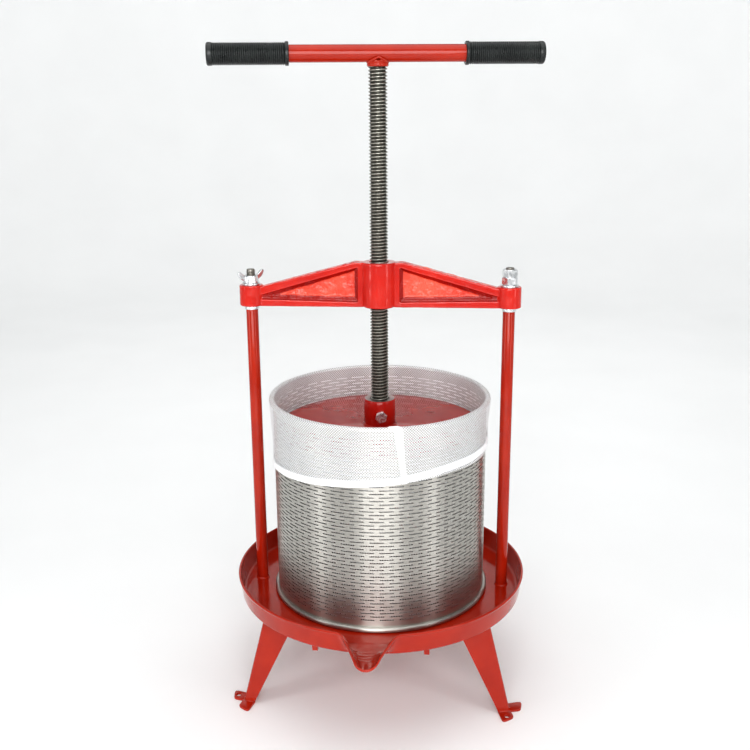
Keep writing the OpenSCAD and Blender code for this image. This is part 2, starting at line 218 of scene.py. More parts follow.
def ridge(r_root, r_crest, pitch, low, high, crest, flank, per_turn=32):
    """The raised ridge of a right-hand thread, which runs out at both ends."""
    turns = (high - low) / pitch
    n = int(turns * per_turn)
    points = []
    for i in range(n + 1):
        turn = math.tau * turns * i / n
        grown = min(1.0, i / per_turn * 1.6, (n - i) / per_turn * 1.6)
        r = r_root + (r_crest - r_root) * grown
        z = low + (high - low) * i / n
        soft = 0.22 * flank
        section = [
            (r_root - 0.4, -crest / 2 - flank), (r - soft, -crest / 2 - soft * 0.4), (r, -crest / 2 + soft),
            (r, crest / 2 - soft), (r - soft, crest / 2 + soft * 0.4), (r_root - 0.4, crest / 2 + flank)]
        points += [(s * math.cos(turn), s * math.sin(turn), z + dz) for s, dz in section]
    k = len(section)
    faces = [
        (i * k + j, (i + 1) * k + j, (i + 1) * k + (j + 1) % k, i * k + (j + 1) % k)
        for i in range(n) for j in range(k)
    ]
    faces += [tuple(range(k))[::-1], tuple(range(n * k, n * k + k))]
    return points, faces


def hex_nut(flats, bore, low, high, turn=0.0, n=72):
    """A hexagon nut with chamfered corners and bore; a bore of 0 makes a solid, slightly domed head."""
    points = []
    for k in range(n + 1):
        a = math.tau * k / n
        edge = flats / 2 / math.cos((a % (math.pi / 3)) - math.pi / 6)
        washer = flats / 2 * 0.96
        drop = max(0.0, edge - washer) * math.tan(math.radians(30))
        section = [
            (bore, low + 0.8), (bore + 0.8, low), (washer, low), (edge - 0.25, low + drop * 0.9),
            (edge, low + drop + 0.25), (edge, high - drop - 0.25), (edge - 0.25, high - drop * 0.9),
            (washer, high), (bore + 0.8, high), (bore, high - 0.8), (bore, low + 0.8)]
        if not bore:
            section = [(0, low)] + section[2:8] + [(washer * 0.6, high + 0.12), (0, high + 0.15)]
        points += [(r * math.cos(a + turn), r * math.sin(a + turn), z) for r, z in section]
    return points, quads(n + 1, len(section))


def cast(shape, voxel, rounds, cutters=()):
    """One soft-edged skin round overlapping solids, less the cutters, as a mesh in metres."""
    def stand_in(name, source):
        obj = bpy.data.objects.new(name, to_mesh(name, source, 1.0))
        scene.collection.objects.link(obj)
        return obj

    core = stand_in("core", shape)
    tools = [stand_in("cutter", Shape().add(part)) for part in cutters]
    for tool in tools:
        cut = core.modifiers.new("cut", "BOOLEAN")
        cut.operation, cut.solver, cut.use_self, cut.object = "DIFFERENCE", "EXACT", True, tool
    skin = core.modifiers.new("skin", "REMESH")
    skin.mode, skin.voxel_size, skin.adaptivity = "VOXEL", voxel, 0.0
    ease = core.modifiers.new("ease", "SMOOTH")
    ease.factor, ease.iterations = 0.5, rounds
    mesh = bpy.data.meshes.new_from_object(core.evaluated_get(bpy.context.evaluated_depsgraph_get()))
    for obj in [core, *tools]:
        bpy.data.objects.remove(obj)
    mesh.transform(Matrix.Scale(MM, 4))
    return mesh


def bump_out(mesh, height):
    """Moves each point along its normal by height(point in mm) in millimetres."""
    moves = [v.normal * height(v.co / MM) * MM for v in mesh.vertices]
    for v, move in zip(mesh.vertices, moves):
        v.co += move
    mesh.update()


# ---- materials
def new_material(name):
    mat = bpy.data.materials.new(name)
    mat.use_nodes = True
    tree = mat.node_tree
    return mat, tree, tree.nodes["Principled BSDF"]


def connect(tree, made, inputs):
    """Links or sets each of a node's named inputs."""
    for key, value in inputs.items():
        if isinstance(value, bpy.types.NodeSocket):
            tree.links.new(value, made.inputs[key])
        else:
            made.inputs[key].default_value = value


def node(tree, kind, inputs=None, **settings):
    made = tree.nodes.new("ShaderNode" + kind)
    for key, value in settings.items():
        setattr(made, key, value)
    connect(tree, made, inputs or {})
    return made


def math_node(tree, operation, a, b=None):
    return node(tree, "Math", {0: a} if b is None else {0: a, 1: b}, operation=operation).outputs[0]


def noise_at(tree, where, scale, detail=2.0, roughness=0.5):
    made = node(tree, "TexNoise", {"Vector": where, "Scale": scale, "Detail": detail, "Roughness": roughness})
    return made.outputs["Fac"]


def ramp(tree, value, low, high, colour_a, colour_b):
    """A colour between two, as value goes from low to high."""
    made = node(tree, "ValToRGB", {"Fac": value})
    stops = made.color_ramp.elements
    stops[0].position, stops[1].position = low, high
    stops[0].color, stops[1].color = (*colour_a, 1), (*colour_b, 1)
    return made.outputs["Color"]


def span(tree, value, low, high, to_low, to_high):
    made = node(tree, "MapRange", {
        "Value": value, "From Min": low, "From Max": high, "To Min": to_low, "To Max": to_high})
    return made.outputs["Result"]


def bump(tree, shader, height, strength, distance):
    made = node(tree, "Bump", {"Height": height, "Strength": strength, "Distance": distance})
    tree.links.new(made.outputs["Normal"], shader.inputs["Normal"])


def paint(name, dark, light, rough=(0.10, 0.2), peel=0.06, coat=0.15, grain=0.0):
    """Glossy enamel: slight tone changes, uneven gloss and orange peel; grain adds a cast surface under it."""
    mat, tree, shader = new_material(name)
    where = node(tree, "TexCoord").outputs["Object"]
    connect(tree, shader, {
        "Base Color": ramp(tree, noise_at(tree, where, 22, 3), 0.3, 0.7, dark, light),
        "Roughness": span(tree, noise_at(tree, where, 70, 4), 0.3, 0.7, *rough),
        "Coat Weight": coat, "Coat Roughness": 0.04, "Specular IOR Level": 0.35})
    fine = noise_at(tree, where, 420, 1)
    if grain:
        coarse = math_node(tree, "MULTIPLY", noise_at(tree, where, 140, 5, 0.7), grain)
        fine = math_node(tree, "ADD", fine, coarse)
    bump(tree, shader, fine, peel, 0.0006)
    return mat


def metal(name, dark, light, rough, scale=60, cells=0.0):
    """Bare or plated metal: mottled tone, uneven roughness and fine marks; cells adds a crystal spangle."""
    mat, tree, shader = new_material(name)
    where = node(tree, "TexCoord").outputs["Object"]
    tone = noise_at(tree, where, scale, 4, 0.6)
    if cells:
        spangle = node(tree, "TexVoronoi", {"Vector": where, "Scale": cells}).outputs["Color"]
        grey = node(tree, "RGBToBW", {"Color": spangle}).outputs["Val"]
        tone = math_node(tree, "ADD", math_node(tree, "MULTIPLY", tone, 0.6),
                         math_node(tree, "MULTIPLY", grey, 0.4))
    connect(tree, shader, {
        "Base Color": ramp(tree, tone, 0.3, 0.7, dark, light),
        "Roughness": span(tree, tone, 0.3, 0.7, *rough), "Metallic": 1.0})
    bump(tree, shader, noise_at(tree, where, scale * 6, 2), 0.08, 0.0004)
    return mat


pan_paint = paint("pan_enamel", (0.33, 0.014, 0.003), (0.42, 0.021, 0.005))
frame_paint = paint("frame_enamel", (0.34, 0.014, 0.003), (0.43, 0.022, 0.005), peel=0.04)
beam_paint = paint("beam_enamel", (0.50, 0.012, 0.007), (0.60, 0.022, 0.012),
                   (0.07, 0.16), 0.12, coat=0.35, grain=1.2)
# recess panels: the same enamel over a rougher cast skin, painted lighter and more orange as a painted
# highlight
painted_highlight_recess_panels = paint("beam_recess_panel_painted_highlight", (0.64, 0.035, 0.016), (0.80, 0.100, 0.055),
                     (0.2, 0.34), 0.2, coat=0.3, grain=1.8)
# recess steps and walls: the same enamel, painted darker as painted shade round the recess
painted_shade_recess_walls = paint("beam_recess_wall_painted_shade", (0.26, 0.004, 0.002), (0.36, 0.008, 0.004),
                    (0.16, 0.3), 0.12, coat=0.0, grain=1.2)
hub_paint = paint("hub_enamel", (0.33, 0.006, 0.003), (0.42, 0.012, 0.005), peel=0.05)
plate_paint = paint("plate_enamel", (0.30, 0.010, 0.006), (0.40, 0.020, 0.010), (0.04, 0.10), 0.02)
zinc = metal("zinc_plate", (0.66, 0.67, 0.69), (0.86, 0.87, 0.88), (0.2, 0.36), 90, cells=260)
stud_steel = metal("stud_steel", (0.16, 0.15, 0.13), (0.36, 0.34, 0.31), (0.28, 0.5), 300)
machined = metal("machined_steel", (0.30, 0.22, 0.21), (0.48, 0.38, 0.36), (0.3, 0.45), 200)


def screw_material():
    """Dark oiled steel, with bare metal along the worn crests of the thread."""
    mat, tree, shader = new_material("screw_steel")
    where = node(tree, "TexCoord").outputs["Object"]
    parts = node(tree, "SeparateXYZ", {"Vector": where})
    squares = [math_node(tree, "POWER", parts.outputs[k], 2.0) for k in (0, 1)]
    out = math_node(tree, "SQRT", math_node(tree, "ADD", *squares))
    speckle = noise_at(tree, where, 400, 3, 0.7)
    uneven = math_node(tree, "ADD", out, math_node(tree, "MULTIPLY", speckle, 0.0005))
    worn = span(tree, uneven, 0.0108, 0.0122, 0.0, 1.0)
    dark = ramp(tree, speckle, 0.35, 0.7, (0.035, 0.034, 0.028), (0.13, 0.125, 0.105))
    bare = ramp(tree, speckle, 0.3, 0.7, (0.30, 0.295, 0.26), (0.62, 0.61, 0.55))
    # a colour Mix node's factor, two colours and result are its sockets 0, 6, 7 and 2
    mixed = node(tree, "Mix", {0: worn}, data_type="RGBA")
    connect(tree, mixed, {6: dark, 7: bare})
    connect(tree, shader, {"Base Color": mixed.outputs[2], "Roughness": span(tree, worn, 0, 1, 0.5, 0.27),
                        "Metallic": 0.9})
    bump(tree, shader, speckle, 0.15, 0.0004)
    return mat


def stainless_material():
    """Satin stainless sheet, brushed round the basket."""
    mat, tree, shader = new_material("satin_stainless")
    uv = node(tree, "TexCoord").outputs["UV"]
    along = node(tree, "Mapping", {"Vector": uv, "Scale": (5, 900, 1)}).outputs["Vector"]
    streak = noise_at(tree, along, 1.0, 4, 0.6)
    patches = noise_at(tree, uv, 14, 3)
    around = node(tree, "Tangent", direction_type="RADIAL", axis="Z")
    connect(tree, shader, {
        "Base Color": ramp(tree, patches, 0.25, 0.75, (0.47, 0.455, 0.42), (0.56, 0.545, 0.51)),
        "Roughness": span(tree, streak, 0.3, 0.7, 0.31, 0.38), "Metallic": 1.0,
        "Anisotropic": 0.93, "Anisotropic Rotation": 0.25, "Tangent": around.outputs["Tangent"]})
    bump(tree, shader, streak, 0.02, 0.0002)
    return mat


def rubber_material():
    """Black moulded rubber with a slightly uneven gloss."""
    mat, tree, shader = new_material("grip_rubber")
    where = node(tree, "TexCoord").outputs["Object"]
    connect(tree, shader, {
        "Base Color": ramp(tree, noise_at(tree, where, 45, 4), 0.3, 0.75,
                           (0.006, 0.008, 0.008), (0.020, 0.024, 0.023)),
        "Roughness": span(tree, noise_at(tree, where, 200, 3), 0.3, 0.7, 0.24, 0.40),
        "Sheen Weight": 0.05, "Sheen Roughness": 0.4})
    bump(tree, shader, noise_at(tree, where, 900, 2), 0.12, 0.0003)
    return mat


NET_PITCH = 0.0025  # one diamond of the net, in metres
NET_HOLE = 0.385  # the hole's half width, as a share of the pitch
NET_ROUND = 2.6  # 2 makes the holes round and more makes them squarer


def net_material():
    """White nylon net: round threads crossing on the slant, open between them."""
    mat, tree, shader = new_material("nylon_net")
    uv = node(tree, "TexCoord").outputs["UV"]
    parts = node(tree, "SeparateXYZ", {"Vector": uv})
    u, v = (math_node(tree, "MULTIPLY", parts.outputs[k], 1 / NET_PITCH) for k in (0, 1))
    offs = []
    for operation in ("ADD", "SUBTRACT"):
        slant = math_node(tree, "MULTIPLY", math_node(tree, operation, u, v), 0.7071)
        part = math_node(tree, "SUBTRACT", math_node(tree, "FRACT", slant), 0.5)
        offs.append(math_node(tree, "POWER", math_node(tree, "ABSOLUTE", part), NET_ROUND))
    far = math_node(tree, "POWER", math_node(tree, "ADD", offs[0], offs[1]), 1 / NET_ROUND)
    connect(tree, shader, {
        "Alpha": math_node(tree, "GREATER_THAN", far, NET_HOLE),
        "Base Color": ramp(tree, noise_at(tree, uv, 30, 3), 0.3, 0.7, (0.86, 0.87, 0.90), (0.95, 0.955, 0.97)),
        "Roughness": span(tree, noise_at(tree, uv, 90, 2), 0.3, 0.7, 0.4, 0.6), "Sheen Weight": 0.2})
    bump(tree, shader, far, 0.5, 0.0006)
    return mat


def tape_material(thread):
    """Close-woven white tape."""
    mat, tree, shader = new_material("nylon_tape")
    uv = node(tree, "TexCoord").outputs["UV"]
    across, down = (
        node(tree, "TexWave", {"Vector": uv, "Scale": scale, "Distortion": 0.6, "Detail": 1.0},
             bands_direction=axis).outputs["Fac"]
        for scale, axis in ((thread, "X"), (thread * 1.4, "Y")))
    weave = math_node(tree, "MAXIMUM", across, down)
    connect(tree, shader, {
        "Base Color": ramp(tree, weave, 0.1, 0.9, (0.86, 0.87, 0.90), (0.96, 0.965, 0.98)),
        "Roughness": span(tree, weave, 0, 1, 0.65, 0.5), "Sheen Weight": 0.25})
    bump(tree, shader, weave, 0.35, 0.0004)
    return mat


screw_steel = screw_material()
stainless = stainless_material()
grip_rubber = rubber_material()
nylon_net = net_material()
nylon_tape = tape_material(260)

# ---- pan and spout
pan_low, pan_high = mm("base_pan")
PAN_R = pan_high.x
RIM_Z = pan_high.z
UNDER = pan_low.z
TIP_Y = -pan_low.y
PAN_T = 2.0  # thickness of the pan's sheet
FLOOR_Z = UNDER + PAN_T
RIM_WIRE = 1.7
BEND_R = 3.6  # bend between the pan's floor and its wall
FLAT_R = 176.0  # the floor is level this far out
FOOT_R = PAN_R - 4.5
SPOUT_START = 196.0  # distance towards the front where the spout's floor starts to climb
SPOUT_DROP, SPOUT_FALL = 18.0, 1.6  # how far the lip falls to its tip, and how late
TIP_R, SHOULDER_R, FLANK = 16.0, 18.0, math.radians(64)  # the lip's tip, shoulders and flanks, from above


def spout_line():
    """Plan of the lip from its middle to the rim, as (x, distance towards the front)."""
    centre = TIP_Y - TIP_R
    offset = centre * math.cos(FLANK) + TIP_R + SHOULDER_R
    back = math.sqrt((PAN_R + SHOULDER_R) ** 2 - offset ** 2)
    cx = math.sin(FLANK) * offset - math.cos(FLANK) * back
    cy = math.cos(FLANK) * offset + math.sin(FLANK) * back
    line = [(TIP_R * math.sin(FLANK * k / 12), centre + TIP_R * math.cos(FLANK * k / 12)) for k in range(13)]
    rim = math.atan2(cx, cy)
    curve = [FLANK + (rim - FLANK) * k / 12 for k in range(13)]
    curve = [(cx - SHOULDER_R * math.sin(a), cy - SHOULDER_R * math.cos(a)) for a in curve]
    return line + between(line[-1], curve[0], 10)[:-1] + curve


def pan_columns():
    """(angle from -Y, spout share, lip radius, lip height) for each section of the pan."""
    half = spout_line()
    line = [(-x, y) for x, y in reversed(half[1:])] + half
    columns = []
    for x, y in line:
        far, turn = math.hypot(x, y), math.atan2(x, y)
        share = max(0.0, (y - half[-1][1]) / (TIP_Y - half[-1][1]))
        columns.append((turn, share, max(PAN_R, far), RIM_Z - SPOUT_DROP * share ** SPOUT_FALL))
    start, end = columns[-1][0], columns[0][0] + math.tau
    n = 132
    columns += [(start + (end - start) * k / n, 0.0, PAN_R, RIM_Z) for k in range(1, n + 1)]
    return columns


def half_width(y):
    """Half width of the spout's lip at a distance y towards the front; inside the pan it opens to the rim."""
    line = spout_line()
    if y <= line[-1][1]:
        return math.sqrt(PAN_R ** 2 - min(y, line[-1][1]) ** 2)
    for (x0, y0), (x1, y1) in zip(line, line[1:]):
        if y >= y1:
            return x0 + (x1 - x0) * (y0 - y) / max(1e-6, y0 - y1)
    return 0.1


def gutter(turn, r, lip_r, lip_z):
    """Height of the spout's hollow: its floor climbs towards the tip and its sides curve up to the lip."""
    x, y = r * math.sin(turn), r * math.cos(turn)
    along = clamp((y - SPOUT_START) / (TIP_Y - SPOUT_START))
    floor = FLOOR_Z + 4.0 * along ** 1.5
    lip = RIM_Z - SPOUT_DROP * along ** SPOUT_FALL - PAN_T
    across = min(1.0, abs(x) / max(1.0, half_width(y) - 2.5))
    tip = max(0.0, (r - lip_r + 13) / 11) ** 2.4
    return min(lip_z - 2.2, floor + (lip - floor) * min(1.0, across ** 2.6 + tip))


def pressed(turn, r):
    """Ripples that the press tool leaves in the spout: wrinkles on its left flank and folds at its tip."""
    x, y = r * math.sin(turn), r * math.cos(turn)
    lines = math.sin(y * 0.85 + x * 0.22 + 1.6 * noise.noise(Vector((x * 0.07, y * 0.07, 2.0))))
    left = clamp((14 - x) / 20)
    inside = clamp((y - 190) / 12) * clamp((228 - y) / 18)
    tip = clamp((y - 214) / 14) * clamp((246 - y) / 6)
    return 0.5 * lines * left * inside + 0.7 * math.sin(x * 0.42 + 0.8) * tip


def pan_section(turn, share, lip_r, lip_z):
    """(radius, height) points of the pan's sheet, from its middle out, over the rolled rim and back."""
    bead_r, bead_z = lip_r - RIM_WIRE, lip_z - RIM_WIRE
    lean = 3.0 * (bead_z - FLOOR_Z) / (RIM_Z - RIM_WIRE - FLOOR_Z)
    flat = [(r, FLOOR_Z) for r in (0, 30, 60, 90, 120, 145, 160, 172, FLAT_R)]
    end = lip_r - 1.5 - lean - PAN_T - BEND_R
    wall = between((FLAT_R, FLOOR_Z), (end, FLOOR_Z), 40)
    wall += [(end + BEND_R * math.sin(a), FLOOR_Z + BEND_R * (1 - math.cos(a)))
             for a in (math.radians(15 * k) for k in range(1, 6))]
    top = (bead_r - RIM_WIRE * 0.85, bead_z - 0.5)
    wall += between(wall[-1], top, 8)
    blend = min(1.0, share / 0.12)
    blend = blend * blend * (3 - 2 * blend)
    inner = []
    for k, (r, z) in enumerate(wall, 1):
        s = k / len(wall)
        bowl_r = FLAT_R + (top[0] - FLAT_R) * s
        bowl_z = gutter(turn, bowl_r, lip_r, lip_z) + pressed(turn, bowl_r)
        bowl_z += (top[1] - bowl_z) * max(0.0, (s - 0.9) / 0.1)
        inner.append((r + (bowl_r - r) * blend, z + (bowl_z - z) * blend))
    bead = arc(bead_r, bead_z, RIM_WIRE, 150, -60, 9)
    side = between((bead_r + 0.75, bead_z - 1.5), (FOOT_R, UNDER + BEND_R), 14)
    side += [(FOOT_R - BEND_R + BEND_R * math.cos(a), UNDER + BEND_R * (1 - math.sin(a)))
             for a in (math.radians(15 * k) for k in range(1, 7))]
    if share:
        side = [(r, min(z, max(UNDER, gutter(turn, r, lip_r, lip_z) - 1.3 * PAN_T))) for r, z in side]
    outer = side + between((side[-1][0], UNDER), (FLAT_R, UNDER), 9)
    under = [(r, UNDER) for r, _ in reversed(flat)]
    return flat + inner + bead + outer + under


def pan_shape():
    """The whole pan, section by section round its middle."""
    columns = pan_columns()
    points, uvs = [], []
    for column in columns:
        turn = column[0]
        section = pan_section(*column)
        points += [(r * math.sin(turn), -r * math.cos(turn), z) for r, z in section]
        uvs += [(turn * PAN_R * MM, k * 0.01) for k in range(len(section))]
    return Shape().add((points, quads(len(columns), len(section)), uvs))


piece("pan", pan_shape(), "frame", [pan_paint], ["base_pan"], 50)

# ---- legs
LEG_T = 3.0
FOOT_X, FOOT_W = 211.0, 16.0  # where a leg's fold meets the ground, and the width of its flanges there
TOP_X, TOP_W = 173.5, 49.0  # the same under the pan


def angle_sheet(top_z, soft=4.0):
    """A folded leg in the radial plane: two tapered flanges that meet in a rounded fold."""
    half = math.sqrt(0.5)
    inner = (soft - LEG_T + 0.6) * 0.6

    def section(w, x, z):
        fold = Vector((x - soft * math.sqrt(2), 0))
        sides = [(Vector((-half, s * half)), Vector((half, s * half))) for s in (1, -1)]
        outer = [Vector((x, 0)) + sides[0][0] * w]
        outer += [fold + Vector((math.cos(a), math.sin(a))) * soft for a in
                  (math.radians(d) for d in (45, 30, 15, 0, -15, -30, -45))]
        outer += [Vector((x, 0)) + sides[1][0] * w]
        back = [outer[-1] - sides[1][1] * LEG_T]
        back += [fold + Vector((math.cos(a), math.sin(a))) * inner for a in
                 (math.radians(d) for d in (-45, -15, 15, 45))]
        back += [outer[0] - sides[0][1] * LEG_T]
        return [(p.x, p.y, z) for p in outer + back]

    rows = 12
    points = []
    for k in range(rows + 1):
        s = k / rows
        points += section(FOOT_W + (TOP_W - FOOT_W) * s, FOOT_X + (TOP_X - FOOT_X) * s, top_z * s)
    n = len(points) // (rows + 1)
    faces = [(i * n + j, (i + 1) * n + j, (i + 1) * n + (j + 1) % n, i * n + (j + 1) % n)
             for i in range(rows) for j in range(n)]
    faces += [tuple(range(n))[::-1], tuple(range(rows * n, rows * n + n))]
    return points, faces


EAR = [(0, -2.6), (0, 11), (0.8, 13.5), (3, 15.5), (7, 17.2), (11, 18.9), (14, 19.6), (16, 19.2), (17.2, 17.2),
       (17.4, 15), (17, -2.6)]


def ear(drilled):
    """The tab bent out at a flange's foot, with the bend's fillet, in the flange's own axes."""
    holes = [arc(9, 11.5, 3.25, 0, 360, 24)[:-1]] if drilled else []
    tab = plate(EAR, holes, 0, LEG_T - (0.08 if drilled else 0), 0.5)  # the two tabs' tops aren't level
    lean = 0.2  # the flange leans in as it rises
    fillet = [(y - lean * z, z) for y, z in arc(3.0, LEG_T + 2.7, 2.9, 262, 188, 5)]
    bend = [(-LEG_T * 0.5, 0.6), (2.6, 0.6), (2.9, LEG_T - 0.4)] + fillet + [(-LEG_T * 0.5 - 1.0, LEG_T + 2.0)]
    n = len(bend)
    points = [(x, y, z) for x in (4.6, FOOT_W - 0.2) for y, z in bend]
    faces = [tuple(range(n)), tuple(range(n, 2 * n))[::-1]] + [
        (i, n + i, n + (i + 1) % n, (i + 1) % n) for i in range(n)]
    return tab, (points, faces)


def leg_shape(turn):
    """A leg with its two ears and the pad under the pan, turned to its place."""
    high = mm("leg_rear")[1]
    whole = Shape()
    place = spin(turn)
    whole.add(angle_sheet(high.z - 0.4), place)
    for mirrored in (0, 1):
        side = Matrix.Diagonal((1, -1 if mirrored else 1, 1, 1))
        local = side @ shift(FOOT_X) @ spin(135) @ Matrix.Diagonal((1, -1, 1, 1))
        for part in ear(mirrored == 1):
            whole.add(part, place @ local)
    reach = TOP_W * math.sqrt(0.5)
    pad = [(TOP_X - 1.5, 0), (TOP_X - 1 - reach, reach), (TOP_X - 1 - reach, -reach)]
    whole.add(plate(pad, [], high.z - LEG_T, high.z, 0.4), place)
    return whole


for name, turn in (("leg_front_left", 210), ("leg_front_right", 330), ("leg_rear", 90)):
    piece(name + "_sheet", leg_shape(turn), "frame", [frame_paint], [name], 40)

# ---- posts and their hardware
STUD_R, STUD_CORE, STUD_PITCH = 6.0, 5.15, 1.75  # M12
NUT_FLATS, NUT_BORE, RING_BORE = 18, 6.02, 6.3
for side in ("left", "right"):
    low, high = mm("post_" + side)
    x, r = (low.x + high.x) / 2, (high.x - low.x) / 2
    shoulder = mm("beam_seat_rings")[0].z
    whole = Shape().add(rod(r, FLOOR_Z - 0.1, shoulder, 0.2, 0.8), shift(x))
    whole.add(lathe([(r - 0.5, FLOOR_Z - 0.1), (r + 1.6, FLOOR_Z - 0.1), (r + 1.3, FLOOR_Z + 0.9),
                     (r - 0.5, FLOOR_Z + 2.2)], 48), shift(x))
    for a, b in ((low.z, FLOOR_Z - 1), (shoulder - 1, high.z)):
        whole.add(rod(STUD_CORE, a, b, 0.5, 0.5, 32), shift(x), 1)
        whole.add(ridge(STUD_CORE, STUD_R, STUD_PITCH, a + 1.2, b - 1.0, 0.3, 0.6, 24), shift(x), 1)
    piece("post_%s_rod" % side, whole, "frame", [frame_paint, stud_steel], ["post_" + side], 35)

low, high = mm("clamp_nut")
right_x = (low.x + high.x) / 2
for name, made, turn, places in (
        ("clamp_nut", "clamp_nut_hex", 12, (right_x,)), ("lock_nut", "lock_nut_hex", 38, (right_x,)),
        ("post_foot_nuts", "post_foot_hex_nuts", 15, (-right_x, right_x))):
    low, high = mm(name)
    whole = Shape()
    for x in places:
        whole.add(hex_nut(NUT_FLATS, NUT_BORE, low.z, high.z, math.radians(turn)), shift(x))
    piece(made, whole, "frame", [zinc], [name], 28)

for name, body in (("left_top_washer", "wing_washer"), ("right_top_washer", "frame"),
                   ("post_foot_washers", "frame"), ("beam_seat_rings", "frame")):
    low, high = mm(name)
    whole = Shape()
    paired = high.x - low.x > 100
    r = (high.y - low.y) / 2
    for x in ((low.x + r, high.x - r) if paired else ((low.x + high.x) / 2,)):
        whole.add(tube(r, RING_BORE, low.z, high.z, 0.5), shift(x))
    piece(name + "_ring", whole, body, [zinc], [name], 50)

# ---- wing nut
low, high = mm("wing_nut")
wing_x, wing_z = (low.x + high.x) / 2, low.z
WING = [(4, 1.5), (8, 1.4), (12, 3.6), (16, 6.0), (18.8, 9), (20.3, 12.2), (20.1, 14.9), (18.6, 16.0),
        (16.4, 15.6), (13.6, 13.2), (10.5, 10.6), (7.5, 9.4), (4, 9.2)]
forged = Shape()
for turn in (0, 180):
    forged.add(plate(WING, [], -1.55, 1.55, 0.9), spin(turn) @ spin(90, "X"))
forged.add(lathe([(0, 0), (10.2, 0), (10.4, 0.8), (10.1, 2.5), (8.7, 9.3), (8.0, 10), (0, 10)], 48,
                 closed=False))
nut_mesh = cast(forged, 0.42, 3, [rod(6.05, -3, 14, n=32)])
nut_mesh.transform(shift(wing_x * MM, 0, wing_z * MM) @ spin(45))
piece("wing_nut_forged", nut_mesh, "wing_nut", [zinc], ["wing_nut"], 60)

# ---- cast beam
beam_low, beam_high = mm("cross_beam")
BEAM_Z = beam_low.z
BOSS_R = (beam_high.y - beam_low.y) / 2
BOSS_H = beam_high.z - beam_low.z
END_R, END_H = 15.7, 27.5
POST_X = beam_high.x - END_R
ARM_Y, STEP_Y = 8.0, 5.6  # half widths of the arm, and of the step inside its recess


def arm_solid(points, half_y):
    """An outline in the beam's X-Z plane, given its thickness along Y."""
    n = len(points)
    solid = [(x, s * half_y, z) for s in (-1, 1) for x, z in points]
    faces = [tuple(range(n)), tuple(range(n, 2 * n))[::-1]]
    faces += [(i, n + i, n + (i + 1) % n, (i + 1) % n) for i in range(n)]
    return solid, faces


RECESS = [(BOSS_R + 5, 6.2), (BOSS_R + 5, BOSS_H - 7), (POST_X - END_R - 1, 15.5), (POST_X - END_R - 1, 9.5)]
# where the arm's outline starts and ends, and where its top edge turns down from the boss
ARM_START, ARM_END, CREST = 14.0, POST_X - 8, BOSS_R + 10.5
PANEL_Y, STEP_DEEP_Y = 3.0, 4.2  # half widths of the recess's panel and of the step next to it
STUD_HOLE, SCREW_HOLE, REACH = 6.5, 12.7, 5  # the cutters reach this far past the casting


def rim_outlines(side=0.0, bottom=0.0, top=0.0):
    """Outlines of the arm below, above and beside its recess, which the given steps make smaller."""
    (ax, az), (bx, bz), (cx, cz), (_, dz) = RECESS
    return (
        [(ARM_START, 0), (ARM_END, 0), (ARM_END, dz + bottom), (ARM_START, az + bottom)],
        [(ARM_START, BOSS_H - 0.3), (ARM_START, bz - top), (bx + side, bz - top),
         (cx - 2 * side, cz - top * 0.8), (ARM_END, cz - top * 0.8 - 1), (ARM_END, END_H - 3.7),
         (CREST, BOSS_H - 0.3)],
        [(ARM_START, 0), (ax + side, 0), (bx + side, bz), (ARM_START, BOSS_H - 0.6)])


def inside_recess(x, z):
    """Whether a point of the arm's side lies within the outline of its recess, with 1.5 mm to spare."""
    (ax, az), (bx, bz), (cx, cz), _ = RECESS
    top = bz + (cz - bz) * (x - bx) / (cx - bx)
    return ax - 1.5 < x < cx + 1.5 and az - 1.5 < z < top + 1.5


def beam_mesh():
    """The cast beam, with rough skin in its recesses; material 1 paints their panels lighter as painted
    highlight, and 2 paints their steps and walls darker as painted shade.
    """
    whole = Shape().add(rod(BOSS_R, 0, BOSS_H, 1.5, 1.5, 96))
    cutters = [rod(SCREW_HOLE, -REACH, BOSS_H + REACH, n=48)]
    for m in (1, -1):
        flip = Matrix.Diagonal((m, 1, 1, 1))
        whole.add(rod(END_R, 0, END_H, 1.2, 1.2, 64), shift(m * POST_X))
        for outlines, half in ((rim_outlines(), ARM_Y), (rim_outlines(2.2, 3.0, 2.4), STEP_Y),
                               (rim_outlines(4.2, 6.0, 4.4), STEP_DEEP_Y)):
            for outline in outlines:
                whole.add(arm_solid(outline, half), flip)
        panel = [(ARM_START, 2), (ARM_END + 2, 4), (ARM_END + 2, 22), (ARM_START, BOSS_H - 3)]
        whole.add(arm_solid(panel, PANEL_Y), flip)
        points, faces, _ = rod(STUD_HOLE, -REACH, END_H + REACH, n=32)
        cutters.append(([Vector(p) + Vector((m * POST_X, 0, 0)) for p in points], faces))
    x0, x1 = -POST_X - STUD_HOLE, -POST_X + STUD_HOLE
    cutters.append(prism([(x0, 0), (x1, 0), (x1, 40), (x0, 40)], -REACH, END_H + REACH))
    mesh = cast(whole, 0.85, 2, cutters)

    def rough(p):
        in_arm = BOSS_R + 3 < abs(p.x) < POST_X - END_R
        inner = clamp((7.2 - abs(p.y)) / 2) if in_arm else 0.0
        sand = noise.noise(p * 0.11) * 0.9 + noise.noise(p * 0.45 + Vector((9, 1, 4))) * 0.35
        skin = noise.noise(p * 0.07 + Vector((3, 8, 1))) * 0.22
        return sand * inner + skin

    # recess panel faces take the painted highlight, and the faces of the steps and walls take the painted shade
    for polygon in mesh.polygons:
        spot = polygon.center / MM
        if BOSS_R + 2 < abs(spot.x) < POST_X - END_R and 2 < spot.z < BOSS_H - 5:
            if abs(spot.y) < STEP_DEEP_Y - 0.3:
                polygon.material_index = 1
            elif abs(spot.y) < ARM_Y - 0.4 and inside_recess(abs(spot.x), spot.z):
                polygon.material_index = 2
    bump_out(mesh, rough)
    mesh.transform(shift(0, 0, BEAM_Z * MM))
    return mesh


